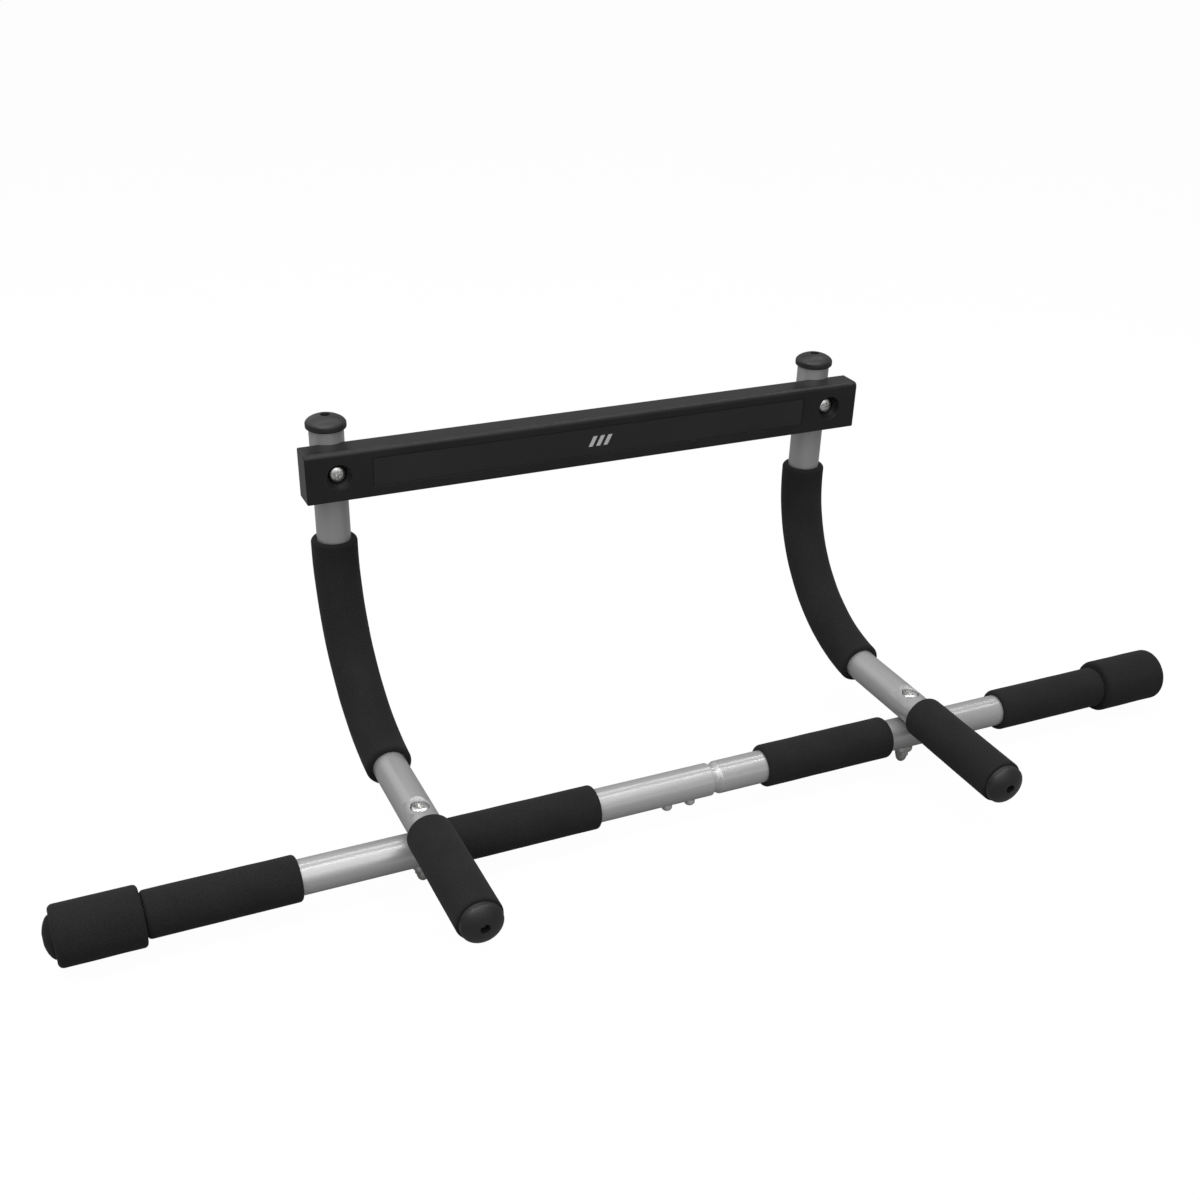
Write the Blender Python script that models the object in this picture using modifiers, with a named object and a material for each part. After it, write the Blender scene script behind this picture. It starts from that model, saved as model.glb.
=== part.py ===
"""A doorway pull-up bar that hangs over a door frame, as an assembly of its separate pieces.

Run it with: blender --background --python part.py, or from Blender's text editor (Blender 4.5).

Metres, +Z up. +X runs along the long bar, and +Y from the user's side of the wall to the far side, where
the crossbar rests on the door trim. The origin is the middle of the crossbar's underside. The pieces are
laid out from the long bar's axis, which an empty holds in its place below and in front of the origin.
"""

import math

import bmesh
import bpy
from mathutils import Vector

# Driving dimensions. X is along the long bar, Y and Z are from its axis.
TUBE_RADIUS = 0.0127  # 25.4 mm steel tube
TUBE_WALL = 0.0015
SIDE_TUBE_X = 0.2040  # the side tubes are 408 mm apart
BAR_TO_POST = 0.1865  # from the long bar's axis back to the upright part of a side tube
BEND_RADIUS = 0.1275
SIDE_TUBE_Z = 2 * TUBE_RADIUS  # the side tubes lie on the long bar
SIDE_TUBE_TOP = 0.2458
HANDLE_END = 0.1186  # how far the side tubes reach in front of the long bar
LONG_BAR_END = 0.4490

# Crossbar
CROSSBAR_HALF_LENGTH = 0.2286
CROSSBAR_FRONT = 0.1570
CROSSBAR_BACK = 0.1774
CROSSBAR_BOTTOM = 0.2004
CROSSBAR_TOP = 0.2375
CROSSBAR_MIDDLE_Z = (CROSSBAR_BOTTOM + CROSSBAR_TOP) / 2
CROSSBAR_WALL = 0.0025
CROSSBAR_TOP_EDGE = 0.0042  # radius of the top front edge
CROSSBAR_SOFT_EDGE = 0.0010
STEEL_BAR_THICKNESS = 0.0030
STEEL_BAR_END_GAP = 0.0010
PANEL_HALF_LENGTH = 0.1792
PANEL_HEIGHT = 0.0219
PANEL_RECESS = 0.0010
PANEL_THICKNESS = 0.0005
POCKET_COUNT = 7
POCKET_LIMIT = SIDE_TUBE_X - 0.0120
RIB_THICKNESS = 0.0030
COUNTERBORE_MOUTH_RADIUS = 0.0093
COUNTERBORE_FLOOR_RADIUS = 0.0064
COUNTERBORE_DEPTH = 0.0080

# Foam
FOAM_BORE = TUBE_RADIUS + 0.0004
END_PAD_RADIUS = 0.0213
SLEEVE_RADIUS = 0.0167
BEND_PAD_RADIUS = 0.0174
END_PAD_SPANS = {"left": (0.3963, 0.4532), "right": (0.3963, 0.4568)}
END_PAD_SEAT_RADIUS = 0.0153  # the pad's outer end is opened to this round the cap's rim
OUTER_SLEEVE_SPAN = (0.2920, 0.3960)
INNER_GRIP_SPAN = (0.0705, 0.1835)
HANDLE_GRIP_SPAN = (0.0178, HANDLE_END)
BEND_PAD_TOP = 0.1600
FOAM_EDGE = 0.0015

# Push-in caps
CAP_RADIUS = 0.0149
CAP_HEIGHT = 0.0103
CAP_DIMPLE_RADIUS = 0.0033
CAP_SHANK_LENGTH = 0.0140

# Middle joint of the long bar
SOCKET_END = 0.0242
SHOULDER = (0.0252, 0.0315)
SPIGOT_END = -0.0380
SPIGOT_RADIUS = 0.0108
JOINT_SCREWS = {"inner": -0.0098, "outer": 0.0096}
JOINT_SCREW_LENGTH = 0.0090
WELD_NUT_BOTTOM = -0.0078

# Fasteners
GAP = 0.0003  # between pieces that touch
M6_RADIUS = 0.0030
M6_HOLE = 0.0033
M5_RADIUS = 0.0025
M5_HOLE = 0.0028
SIDE_BOLT_HEAD = (0.0061, 0.0036, 0.0013)  # radius, height and height of the straight side
CROSSBAR_BOLT_HEAD = (0.0059, 0.0032, 0.0011)
JOINT_SCREW_HEAD = (0.0041, 0.0063, 0.0036)
DISH_FLOOR = 0.0324
DISH_RADIUS = 0.0066
DISH_FLARE = 1.08  # how much wider the dish is at its mouth
SADDLE_WASHER_RADIUS = 0.0080
SADDLE_WASHER_BOTTOM = -TUBE_RADIUS - 0.0027
FLAT_WASHER_RADIUS = 0.0062
FLAT_WASHER_THICKNESS = 0.0012
M6_NUT_ACROSS_FLATS = 0.0100
ACORN_NUT_HEIGHTS = (0.0052, 0.0092)  # of the hexagon and of the bore
LOCK_NUT_HEIGHTS = (0.0046, 0.0074)
WELD_NUT_ACROSS_FLATS = 0.0080
WELD_NUT_HEIGHTS = (0.0040, 0.0050)
NUT_REACH = {"acorn": 0.0085, "lock": 0.0082}  # how far each bolt goes past the face its nut rests on

TUBE_SIDES = 24
CAP_SIDES = 20
HEAD_SIDES = 16
HOLE_SIDES = 12
BEND_STEPS = 9
DRILL_REACH = 0.0200  # half the length of a drill through a whole tube
BEYOND = 0.0050  # how far a cutter passes the surface that it opens
SMOOTH_ANGLE = math.radians(35)
SIDES = {"left": -1, "right": 1}

# The rotation that turns +Z into each direction
TURN_TO = {
    "+X": (0, math.pi / 2, 0),
    "-X": (0, -math.pi / 2, 0),
    "+Y": (-math.pi / 2, 0, 0),
    "-Y": (math.pi / 2, 0, 0),
    "+Z": (0, 0, 0),
    "-Z": (math.pi, 0, 0),
}


# ---- Scene, materials and basic shapes ----


def outwards(sign):
    return "+X" if sign > 0 else "-X"


def clear_scene():
    for obj in list(bpy.data.objects):
        bpy.data.objects.remove(obj)


def make_collection(name, hidden=False):
    collection = bpy.data.collections.new(name)
    collection.hide_render = hidden
    bpy.context.scene.collection.children.link(collection)
    return collection


def make_material(name, colour, roughness, metallic=0.0):
    material = bpy.data.materials.new(name)
    material.use_nodes = True
    shader = material.node_tree.nodes["Principled BSDF"]
    shader.inputs["Base Color"].default_value = (*colour, 1.0)
    shader.inputs["Roughness"].default_value = roughness
    shader.inputs["Metallic"].default_value = metallic
    return material


def add_object(name, mesh, material=None, location=(0, 0, 0), direction="+Z"):
    """A part if it has a material, or a cutter if it has none."""
    obj = bpy.data.objects.new(name, mesh)
    obj.location = location
    obj.rotation_euler = TURN_TO[direction]
    obj.parent = bar_axis
    if material:
        mesh.materials.append(material)
        parts.objects.link(obj)
    else:
        cutters.objects.link(obj)
        obj.hide_render = True
        obj.display_type = "WIRE"
    return obj


def boolean(obj, other, operation="DIFFERENCE"):
    modifier = obj.modifiers.new(f"{operation.lower()} {other.name}", "BOOLEAN")
    modifier.operation = operation
    modifier.solver = "EXACT"
    modifier.object = other


def box(name, low, high, material=None):
    bm = bmesh.new()
    bmesh.ops.create_cube(bm, size=1.0)
    size = Vector(high) - Vector(low)
    middle = (Vector(high) + Vector(low)) / 2
    bmesh.ops.scale(bm, vec=size, verts=bm.verts)
    bmesh.ops.translate(bm, vec=middle, verts=bm.verts)
    mesh = bpy.data.meshes.new(name)
    bm.to_mesh(mesh)
    bm.free()
    return add_object(name, mesh, material)


def cone(name, bottom, top, radius, top_radius=None, sides=HOLE_SIDES, x=0.0, y=0.0):
    """An upright cylinder or frustum between two heights, used as a cutter."""
    bm = bmesh.new()
    bmesh.ops.create_cone(
        bm,
        cap_ends=True,
        segments=sides,
        radius1=radius,
        radius2=radius if top_radius is None else top_radius,
        depth=top - bottom,
    )
    mesh = bpy.data.meshes.new(name)
    bm.to_mesh(mesh)
    bm.free()
    return add_object(name, mesh, location=(x, y, (bottom + top) / 2))


def level_drill(name, centre, direction, radius, reach=DRILL_REACH, sides=HOLE_SIDES):
    """A cylinder that lies along a direction and reaches equally far on both sides of its centre."""
    drill = cone(name, -reach, reach, radius, sides=sides)
    drill.location = centre
    drill.rotation_euler = TURN_TO[direction]
    return drill


def arc(centre, radii, start, end, steps):
    """Points on an ellipse, (radius, height) each, from start to end in degrees."""
    points = []
    for step in range(steps + 1):
        angle = math.radians(start + (end - start) * step / steps)
        points.append(
            (centre[0] + radii[0] * math.cos(angle), centre[1] + radii[1] * math.sin(angle))
        )
    return points


def turned(name, outline, material=None, location=(0, 0, 0), direction="+Z", sides=TUBE_SIDES):
    """A solid of revolution about its +Z. The outline runs down the outer side, from top to bottom.

    It is a closed loop, unless it starts and ends on the axis.
    """
    count = len(outline)
    on_axis = outline[0][0] == 0 and outline[-1][0] == 0
    edges = [(i, i + 1) for i in range(count - 1)]
    if not on_axis:
        edges.append((count - 1, 0))
    mesh = bpy.data.meshes.new(name)
    mesh.from_pydata([(radius, 0, height) for radius, height in outline], edges, [])
    obj = add_object(name, mesh, material, location, direction)
    screw = obj.modifiers.new("turn", "SCREW")
    screw.steps = sides
    screw.render_steps = sides
    screw.use_merge_vertices = True
    screw.merge_threshold = 0.00001
    return obj


def sleeve(name, length, inner, outer, material, location, direction, edge=0.0, seat=None):
    """A straight hollow cylinder from its location onwards, with chamfered outer edges.

    A seat, (radius, depth), widens the bore at the far end.
    """
    if edge:
        outline = [(outer - edge, length), (outer, length - edge)]
        outline += [(outer, edge), (outer - edge, 0)]
    else:
        outline = [(outer, length), (outer, 0)]
    outline.append((inner, 0))
    if seat:
        outline += [(inner, length - seat[1]), (seat[0], length - seat[1]), (seat[0], length)]
    else:
        outline.append((inner, length))
    return turned(name, outline, material, location, direction)


def swept_pipe(name, path, outer, wall, x, material):
    """A hollow round pipe along a path of (y, z) points."""
    curve = bpy.data.curves.new(name, "CURVE")
    curve.dimensions = "3D"
    curve.bevel_depth = outer
    curve.bevel_resolution = TUBE_SIDES // 2 - 2
    spline = curve.splines.new("POLY")
    spline.points.add(len(path) - 1)
    for point, (y, z) in zip(spline.points, path):
        point.co = (x, y, z, 1.0)
    guide = bpy.data.objects.new(name, curve)
    cutters.objects.link(guide)
    graph = bpy.context.evaluated_depsgraph_get()
    mesh = bpy.data.meshes.new_from_object(guide.evaluated_get(graph))
    bpy.data.objects.remove(guide)
    bpy.data.curves.remove(curve)
    mesh.name = name
    pipe = add_object(name, mesh, material)
    solidify = pipe.modifiers.new("wall", "SOLIDIFY")
    solidify.thickness = wall
    solidify.offset = -1.0
    solidify.use_even_offset = True
    return pipe


def bend_points():
    """(y, z) points along the centre line of a side tube's bend, from its upright end to its level end."""
    centre = (BAR_TO_POST - BEND_RADIUS, SIDE_TUBE_Z + BEND_RADIUS)
    return arc(centre, (BEND_RADIUS, BEND_RADIUS), 0, -90, BEND_STEPS)


def cross_recess(name, span, location, direction):
    """The tapered cross that a screwdriver fits. Its mouth is at its location."""
    bm = bmesh.new()
    long, short = span / 2, span / 10
    outline = []
    for turn in range(4):
        for u, v in ((long, -short), (long, short), (short, short)):
            angle = turn * math.pi / 2
            cos, sin = round(math.cos(angle)), round(math.sin(angle))
            outline.append(bm.verts.new((u * cos - v * sin, u * sin + v * cos, 0)))
    face = bm.faces.new(outline)
    bmesh.ops.translate(bm, vec=(0, 0, 0.0005), verts=bm.verts)
    deep = bmesh.ops.extrude_face_region(bm, geom=[face])
    floor = [item for item in deep["geom"] if isinstance(item, bmesh.types.BMVert)]
    bmesh.ops.translate(bm, vec=(0, 0, -0.0005 - span * 0.35), verts=floor)
    bmesh.ops.scale(bm, vec=(0.6, 0.6, 1.0), verts=floor)
    bmesh.ops.recalc_face_normals(bm, faces=bm.faces)
    mesh = bpy.data.meshes.new(name)
    bm.to_mesh(mesh)
    bm.free()
    return add_object(name, mesh, location=location, direction=direction)


# ---- Fasteners ----


def dome_screw(name, head, radius, length, location, direction):
    """A screw with a domed head and a cross recess. Its location is under the head."""
    head_radius, head_height, side_height = head
    outline = [(0, head_height)]
    outline += arc((0, side_height), (head_radius, head_height - side_height), 60, 0, 3)
    outline += [(head_radius, 0), (radius, 0), (radius, -length), (0, -length)]
    screw = turned(name, outline, zinc, location, direction, HEAD_SIDES)
    top = Vector(location) + axis_of(direction) * (head_height - 0.0002)
    recess = cross_recess(f"{name}_recess", head_radius * 1.15, top, direction)
    boolean(screw, recess)
    return screw


def axis_of(direction):
    sign = 1 if direction[0] == "+" else -1
    return Vector([sign * (letter == direction[1]) for letter in "XYZ"])


def hex_nut(name, across_flats, heights, hole, location, direction, crown=()):
    """A nut that stands on its location. Its heights are the hexagon's and the bore's.

    A crown adds a collar or a dome.
    """
    height, bore = heights
    corner = across_flats / math.sqrt(3)
    bm = bmesh.new()
    bmesh.ops.create_cone(
        bm, cap_ends=True, segments=6, radius1=corner, radius2=corner, depth=height
    )
    bmesh.ops.translate(bm, vec=(0, 0, height / 2), verts=bm.verts)
    mesh = bpy.data.meshes.new(name)
    bm.to_mesh(mesh)
    bm.free()
    nut = add_object(name, mesh, zinc, location, direction)
    if crown:
        boolean(nut, turned(f"{name}_crown", crown, None, location, direction, HEAD_SIDES), "UNION")
    drill = [(0, bore), (hole, bore), (hole, -0.001), (0, -0.001)]
    boolean(nut, turned(f"{name}_drill", drill, None, location, direction, HOLE_SIDES))
    return nut


def acorn_nut(name, location, direction):
    crown = [
        (0, 0.0120),
        (0.0011, 0.0117),
        (0.0027, 0.0104),
        (0.0039, 0.0085),
        (0.0045, 0.0064),
        (0.0046, 0.0030),
        (0, 0.0030),
    ]
    return hex_nut(name, M6_NUT_ACROSS_FLATS, ACORN_NUT_HEIGHTS, M6_HOLE, location, direction, crown)


def lock_nut(name, location, direction):
    crown = [(0, 0.0064), (0.0038, 0.0064), (0.0044, 0.0058), (0.0044, 0.0030), (0, 0.0030)]
    return hex_nut(name, M6_NUT_ACROSS_FLATS, LOCK_NUT_HEIGHTS, M6_HOLE, location, direction, crown)


def end_cap(name, location, direction):
    """A push-in plug with a round button head. Its location is the head's underside, on the tube's end."""
    rim = CAP_HEIGHT * 0.39
    inner = TUBE_RADIUS - TUBE_WALL - GAP
    hollow = inner - 0.0030
    dome_end = math.degrees(math.acos(CAP_DIMPLE_RADIUS / CAP_RADIUS))
    dimple_floor = CAP_HEIGHT * 0.62
    outline = [(0, dimple_floor), (CAP_DIMPLE_RADIUS * 0.85, dimple_floor)]
    outline += arc((0, rim), (CAP_RADIUS, CAP_HEIGHT - rim), dome_end, 0, 4)
    outline += [(TUBE_RADIUS + (CAP_RADIUS - TUBE_RADIUS) * 0.6, rim * 0.2), (TUBE_RADIUS, 0)]
    outline += [(inner, 0), (inner, -CAP_SHANK_LENGTH), (hollow, -CAP_SHANK_LENGTH)]
    outline += [(hollow, 0.0020), (0, 0.0020)]
    return turned(name, outline, cap_plastic, location, direction, CAP_SIDES)


# ---- The long bar ----


def long_bar():
    left = sleeve(
        "long_bar_left_tube",
        LONG_BAR_END + SOCKET_END,
        TUBE_RADIUS - TUBE_WALL,
        TUBE_RADIUS,
        bar_steel,
        (-LONG_BAR_END, 0, 0),
        "+X",
    )
    outline = [
        (TUBE_RADIUS, LONG_BAR_END),
        (TUBE_RADIUS, SHOULDER[1]),
        (SPIGOT_RADIUS, SHOULDER[0]),
        (SPIGOT_RADIUS, SPIGOT_END),
        (SPIGOT_RADIUS - TUBE_WALL, SPIGOT_END),
        (SPIGOT_RADIUS - TUBE_WALL, SHOULDER[0]),
        (TUBE_RADIUS - TUBE_WALL, SHOULDER[1]),
        (TUBE_RADIUS - TUBE_WALL, LONG_BAR_END),
    ]
    right = turned("long_bar_right_tube", outline, bar_steel, (0, 0, 0), "+X")
    for tube, (side, sign) in zip((left, right), SIDES.items()):
        x = sign * SIDE_TUBE_X
        boolean(tube, cone(f"long_bar_{side}_bolt_hole", -DRILL_REACH, DRILL_REACH, M6_HOLE, x=x))
        end_cap(f"long_bar_cap_{side}", (sign * (LONG_BAR_END + GAP), 0, 0), outwards(sign))
    for place, x in JOINT_SCREWS.items():
        drill = cone(f"joint_{place}_hole", -DRILL_REACH, -M5_RADIUS, M5_HOLE, x=x)
        boolean(left, drill)
        boolean(right, drill)
        dome_screw(
            f"joint_screw_{place}",
            JOINT_SCREW_HEAD,
            M5_RADIUS,
            JOINT_SCREW_LENGTH,
            (x, 0, -TUBE_RADIUS - GAP),
            "-Z",
        )
        hex_nut(
            f"joint_weld_nut_{place}",
            WELD_NUT_ACROSS_FLATS,
            WELD_NUT_HEIGHTS,
            M5_HOLE,
            (x, 0, WELD_NUT_BOTTOM),
            "+Z",
        )


def long_bar_foam():
    for side, sign in SIDES.items():
        end_pad_span = END_PAD_SPANS[side]
        cap_seat = (END_PAD_SEAT_RADIUS, end_pad_span[1] - LONG_BAR_END)
        for name, (start, end), radius, seat in (
            ("end_pad", end_pad_span, END_PAD_RADIUS, cap_seat),
            ("outer_sleeve", OUTER_SLEEVE_SPAN, SLEEVE_RADIUS, None),
            ("inner_grip", INNER_GRIP_SPAN, SLEEVE_RADIUS, None),
        ):
            sleeve(
                f"{name}_{side}",
                end - start,
                FOAM_BORE,
                radius,
                foam,
                (sign * start, 0, 0),
                outwards(sign),
                FOAM_EDGE,
                seat,
            )


# ---- The side tubes ----


def pressed_seat(tube, side, x):
    """The dish pressed into the top of a side tube, where the bolt's head sits."""
    mouth = SIDE_TUBE_Z + TUBE_RADIUS + BEYOND
    wall = DISH_RADIUS + TUBE_WALL
    outer = cone(f"dish_outside_{side}", DISH_FLOOR - TUBE_WALL, mouth, wall, wall * DISH_FLARE, x=x)
    core_radius = TUBE_RADIUS - 0.0004
    core = level_drill(
        f"dish_core_{side}", (x, 0, SIDE_TUBE_Z), "+Y", core_radius, sides=TUBE_SIDES
    )
    boolean(outer, core, "INTERSECT")
    boolean(tube, outer, "UNION")
    inside = cone(
        f"dish_inside_{side}", DISH_FLOOR, mouth, DISH_RADIUS, DISH_RADIUS * DISH_FLARE, x=x
    )
    boolean(tube, inside)


def side_tubes():
    bend = bend_points()
    path = [(BAR_TO_POST, SIDE_TUBE_TOP), *bend, (-HANDLE_END, SIDE_TUBE_Z)]
    # the pad stops half a step short of the bend's level end, on the tube's own line
    pad_end = [(first + last) / 2 for first, last in zip(bend[-2], bend[-1])]
    pad_path = [(BAR_TO_POST, BEND_PAD_TOP), *bend[:-1], pad_end]
    for side, sign in SIDES.items():
        x = sign * SIDE_TUBE_X
        tube = swept_pipe(f"side_tube_{side}", path, TUBE_RADIUS, TUBE_WALL, x, post_steel)
        pressed_seat(tube, side, x)
        boolean(tube, cone(f"side_tube_{side}_bolt_hole", 0, 2 * SIDE_TUBE_Z, M6_HOLE, x=x))
        post_hole = f"side_tube_{side}_crossbar_hole"
        boolean(tube, level_drill(post_hole, (x, BAR_TO_POST, CROSSBAR_MIDDLE_Z), "+Y", M6_HOLE))
        end_cap(f"post_cap_{side}", (x, BAR_TO_POST, SIDE_TUBE_TOP + GAP), "+Z")
        end_cap(f"handle_cap_{side}", (x, -HANDLE_END - GAP, SIDE_TUBE_Z), "-Y")
        swept_pipe(f"bend_pad_{side}", pad_path, BEND_PAD_RADIUS, BEND_PAD_RADIUS - FOAM_BORE, x, foam)
        start, end = HANDLE_GRIP_SPAN
        sleeve(
            f"handle_grip_{side}",
            end - start,
            FOAM_BORE,
            SLEEVE_RADIUS,
            foam,
            (x, -start, SIDE_TUBE_Z),
            "-Y",
            FOAM_EDGE,
        )


def side_bolts():
    seat = DISH_FLOOR + GAP
    nut_top = SADDLE_WASHER_BOTTOM - GAP
    length = seat - nut_top + NUT_REACH["acorn"]
    outline = [
        (SADDLE_WASHER_RADIUS, 0),
        (SADDLE_WASHER_RADIUS, SADDLE_WASHER_BOTTOM),
        (M6_HOLE, SADDLE_WASHER_BOTTOM),
        (M6_HOLE, 0),
    ]
    for side, sign in SIDES.items():
        x = sign * SIDE_TUBE_X
        dome_screw(f"side_bolt_{side}", SIDE_BOLT_HEAD, M6_RADIUS, length, (x, 0, seat), "+Z")
        washer = turned(f"saddle_washer_{side}", outline, zinc, (x, 0, 0), "+Z")
        saddle_radius = TUBE_RADIUS + GAP
        saddle = level_drill(f"saddle_{side}", (x, 0, 0), "+X", saddle_radius, sides=TUBE_SIDES)
        boolean(washer, saddle)
        acorn_nut(f"acorn_nut_{side}", (x, 0, nut_top), "-Z")


# ---- The crossbar ----


def rounded_cover_body():
    """The outside of the crossbar: a long box with a well rounded top front edge."""
    low = Vector((-CROSSBAR_HALF_LENGTH, CROSSBAR_FRONT, CROSSBAR_BOTTOM))
    high = Vector((CROSSBAR_HALF_LENGTH, CROSSBAR_BACK, CROSSBAR_TOP))
    cover = box("crossbar_cover", low, high, crossbar_plastic)
    middle = (low + high) / 2

    def front(edge):
        return all(vert.co.y < middle.y for vert in edge.verts)

    def along_x(edge):
        return abs(edge.verts[0].co.x - edge.verts[1].co.x) > CROSSBAR_HALF_LENGTH

    def on_top(edge):
        return all(vert.co.z > middle.z for vert in edge.verts)

    bm = bmesh.new()
    bm.from_mesh(cover.data)
    edges = [edge for edge in bm.edges if front(edge) and along_x(edge) and on_top(edge)]
    bmesh.ops.bevel(
        bm, geom=edges, offset=CROSSBAR_TOP_EDGE, segments=4, profile=0.5, affect="EDGES"
    )
    bm.to_mesh(cover.data)
    bm.free()
    soft = cover.modifiers.new("soft edges", "BEVEL")
    soft.width = CROSSBAR_SOFT_EDGE
    soft.segments = 2
    soft.limit_method = "ANGLE"
    soft.angle_limit = math.radians(50)
    return cover


def crossbar():
    cover = rounded_cover_body()
    steel_front = BAR_TO_POST - TUBE_RADIUS - GAP - STEEL_BAR_THICKNESS
    inner_end = CROSSBAR_HALF_LENGTH - CROSSBAR_WALL
    inner_bottom = CROSSBAR_BOTTOM + CROSSBAR_WALL
    inner_top = CROSSBAR_TOP - CROSSBAR_WALL
    cavity = box(
        "crossbar_cavity",
        (-inner_end, steel_front - GAP, inner_bottom),
        (inner_end, CROSSBAR_BACK + BEYOND, inner_top),
    )
    boolean(cover, cavity)

    # deep pockets between stand-off ribs, which leave an even wall behind the front between the bolts
    pocket_front = CROSSBAR_FRONT + PANEL_RECESS + CROSSBAR_WALL
    pitch = 2 * POCKET_LIMIT / POCKET_COUNT
    for index in range(POCKET_COUNT):
        start = -POCKET_LIMIT + index * pitch
        pocket = box(
            f"crossbar_pocket_{index + 1}",
            (start + RIB_THICKNESS / 2, pocket_front, inner_bottom + 0.0010),
            (start + pitch - RIB_THICKNESS / 2, steel_front + 0.0010, inner_top - 0.0010),
        )
        boolean(cover, pocket)

    panel_low = CROSSBAR_MIDDLE_Z - PANEL_HEIGHT / 2
    panel_high = CROSSBAR_MIDDLE_Z + PANEL_HEIGHT / 2
    recess = box(
        "panel_recess",
        (-PANEL_HALF_LENGTH, CROSSBAR_FRONT - BEYOND, panel_low),
        (PANEL_HALF_LENGTH, CROSSBAR_FRONT + PANEL_RECESS, panel_high),
    )
    boolean(cover, recess)
    plate_back = CROSSBAR_FRONT + PANEL_RECESS - GAP
    box(
        "crossbar_label_plate",
        (-PANEL_HALF_LENGTH + GAP, plate_back - PANEL_THICKNESS, panel_low + GAP),
        (PANEL_HALF_LENGTH - GAP, plate_back, panel_high - GAP),
        label_plastic,
    )

    steel_end = inner_end - STEEL_BAR_END_GAP
    steel = box(
        "crossbar_steel_bar",
        (-steel_end, steel_front, inner_bottom + GAP),
        (steel_end, steel_front + STEEL_BAR_THICKNESS, inner_top - GAP),
        post_steel,
    )
    for side, sign in SIDES.items():
        crossbar_fixing(side, sign * SIDE_TUBE_X, cover, steel)


def crossbar_fixing(side, x, cover, steel):
    """The notches for one side tube, and the bolt, washer and nut that hold the crossbar to it."""
    notch_radius = TUBE_RADIUS + 0.0005
    notch = cone(
        f"crossbar_notch_{side}",
        CROSSBAR_BOTTOM - BEYOND,
        CROSSBAR_TOP + BEYOND,
        notch_radius,
        sides=TUBE_SIDES,
        x=x,
        y=BAR_TO_POST,
    )
    boolean(cover, notch)
    hole = level_drill(
        f"crossbar_{side}_bolt_hole", (x, CROSSBAR_BACK, CROSSBAR_MIDDLE_Z), "+Y", M6_HOLE
    )
    boolean(cover, hole)
    boolean(steel, hole)
    floor, mouth = COUNTERBORE_FLOOR_RADIUS, COUNTERBORE_MOUTH_RADIUS
    outline = [
        (0, BEYOND),
        (mouth, BEYOND),
        (mouth, 0),
        (floor, -COUNTERBORE_DEPTH),
        (0, -COUNTERBORE_DEPTH),
    ]
    counterbore = turned(
        f"crossbar_{side}_counterbore",
        outline,
        None,
        (x, CROSSBAR_FRONT, CROSSBAR_MIDDLE_Z),
        "-Y",
        HEAD_SIDES,
    )
    boolean(cover, counterbore)

    under_head = CROSSBAR_FRONT + COUNTERBORE_DEPTH - GAP
    washer_front = BAR_TO_POST + TUBE_RADIUS + GAP
    nut_front = washer_front + FLAT_WASHER_THICKNESS + GAP
    dome_screw(
        f"crossbar_bolt_{side}",
        CROSSBAR_BOLT_HEAD,
        M6_RADIUS,
        nut_front + NUT_REACH["lock"] - under_head,
        (x, under_head, CROSSBAR_MIDDLE_Z),
        "-Y",
    )
    sleeve(
        f"crossbar_washer_{side}",
        FLAT_WASHER_THICKNESS,
        M6_HOLE,
        FLAT_WASHER_RADIUS,
        zinc,
        (x, washer_front, CROSSBAR_MIDDLE_Z),
        "+Y",
    )
    lock_nut(f"crossbar_lock_nut_{side}", (x, nut_front, CROSSBAR_MIDDLE_Z), "+Y")


def keep_results():
    """Replaces each part's modifiers with their result, shaded smooth where the surface is round."""
    bpy.context.view_layer.update()
    graph = bpy.context.evaluated_depsgraph_get()
    solids = [obj for obj in parts.objects if obj.type == "MESH"]
    results = {obj: bpy.data.meshes.new_from_object(obj.evaluated_get(graph)) for obj in solids}
    for obj, mesh in results.items():
        obj.modifiers.clear()
        obj.data = mesh
        mesh.name = obj.name
        mesh.shade_smooth()
        mesh.set_sharp_from_angle(angle=SMOOTH_ANGLE)


clear_scene()
parts = make_collection("pull_up_bar")
cutters = make_collection("cutters", hidden=True)

bar_axis = bpy.data.objects.new("bar_axis", None)
bar_axis.location = (0, -(CROSSBAR_FRONT + CROSSBAR_BACK) / 2, -CROSSBAR_BOTTOM)
parts.objects.link(bar_axis)

bar_steel = make_material("silver painted steel", (0.46, 0.46, 0.47), 0.35, 0.6)
post_steel = make_material("grey painted steel", (0.30, 0.30, 0.31), 0.40, 0.6)
foam = make_material("black foam", (0.020, 0.020, 0.021), 0.95)
cap_plastic = make_material("black plastic", (0.030, 0.030, 0.031), 0.45)
crossbar_plastic = make_material("satin black plastic", (0.020, 0.020, 0.021), 0.40)
label_plastic = make_material("label black", (0.024, 0.024, 0.025), 0.55)
zinc = make_material("bright zinc", (0.70, 0.70, 0.69), 0.25, 1.0)

long_bar()
long_bar_foam()
side_tubes()
side_bolts()
crossbar()
keep_results()
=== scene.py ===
"""The looks of a doorway pull-up bar: fine pieces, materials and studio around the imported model.

Metres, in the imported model's frame: +X runs along the long bar, +Z is up and -Y is the user's side.
"""

import math

import bmesh
import bpy
from mathutils import Matrix, Vector, noise


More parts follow.
